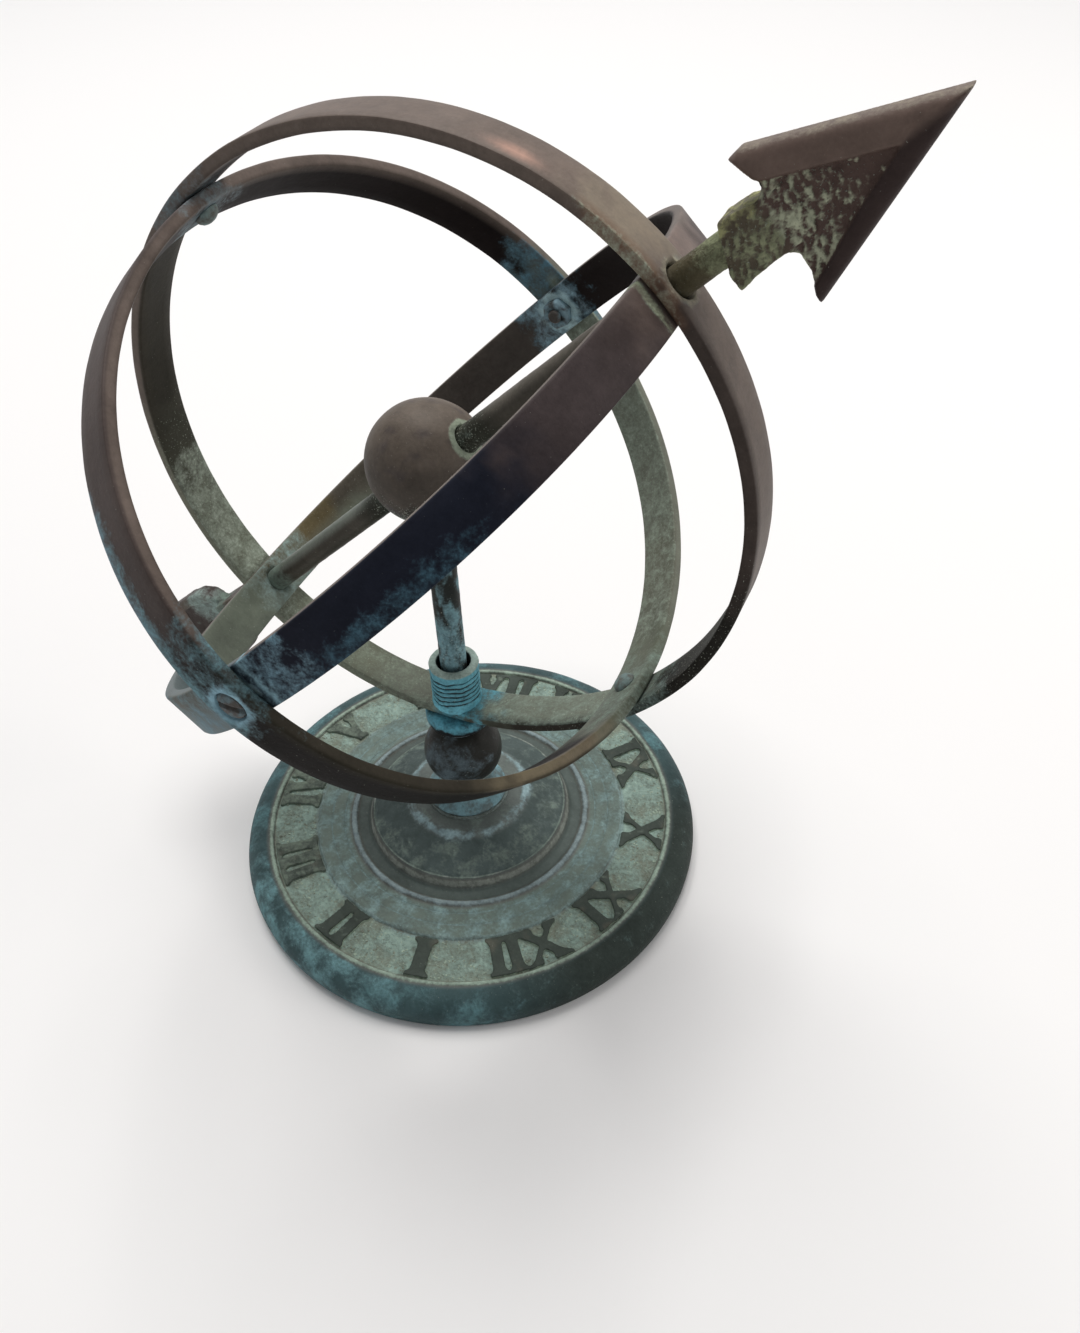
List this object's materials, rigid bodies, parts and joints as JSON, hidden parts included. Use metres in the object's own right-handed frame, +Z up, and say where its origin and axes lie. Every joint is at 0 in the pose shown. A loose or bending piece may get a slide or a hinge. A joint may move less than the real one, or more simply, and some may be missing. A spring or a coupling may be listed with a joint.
{
  "type": "armillary sundial",
  "caption": "Table armillary sundial: flat-bar hoops nested round a ball and a polar arrow, on a stem that turns over a round cast dial with raised Roman numerals",
  "frame": {"origin": "middle of the dial's underside, on the axis of the stem", "axes": "+Z up along the stem; the arrow, the pole line and the meridian hoop lie in the XZ plane, with the arrow's point towards +X and up; +Y runs from side to side through the two side crossings of the hoops"},
  "size_m": [0.2285, 0.182, 0.2545],
  "materials": {
    "dial": "cast bronze, grey-green patina",
    "stem": "turned bronze, nearly black",
    "fittings": "turned brass, dulled",
    "spring": "spring steel",
    "socket": "turned bronze under turquoise verdigris",
    "rods": "dark bronze rod, greenish in places",
    "ball": "brown bronze",
    "hoops": "brown to black bronze bar with verdigris at the joints",
    "fasteners": "dark bronze with pale blue salts round it",
    "arrow": "pitted cast bronze with smooth dark edges"
  },
  "bodies": {
    "dial": {"dial_base": "dial", "seat_washer": "fittings", "flat_washer": "fittings"},
    "armillary": {"stem_bulb": "stem", "neck_nut": "stem", "stem_stud": "fittings", "spring_washer": "spring", "stem_nut": "fittings", "hoop_socket": "socket", "upright_rod": "rods", "ball": "ball", "meridian_hoop": "hoops", "equator_hoop": "hoops", "hour_hoop": "hoops", "meridian_rivets": "fasteners", "side_screws": "fasteners", "side_nuts": "fasteners", "front_rod": "rods", "tail_rod": "rods", "arrowhead": "arrow", "arrow_tail": "arrow"}
  },
  "joints": [
    {"name": "stem_turn", "type": "hinge", "parent": "dial", "child": "armillary", "pos_m": [0, 0, 0.0226], "axis": [0, 0, 1], "continuous": true}
  ]
}
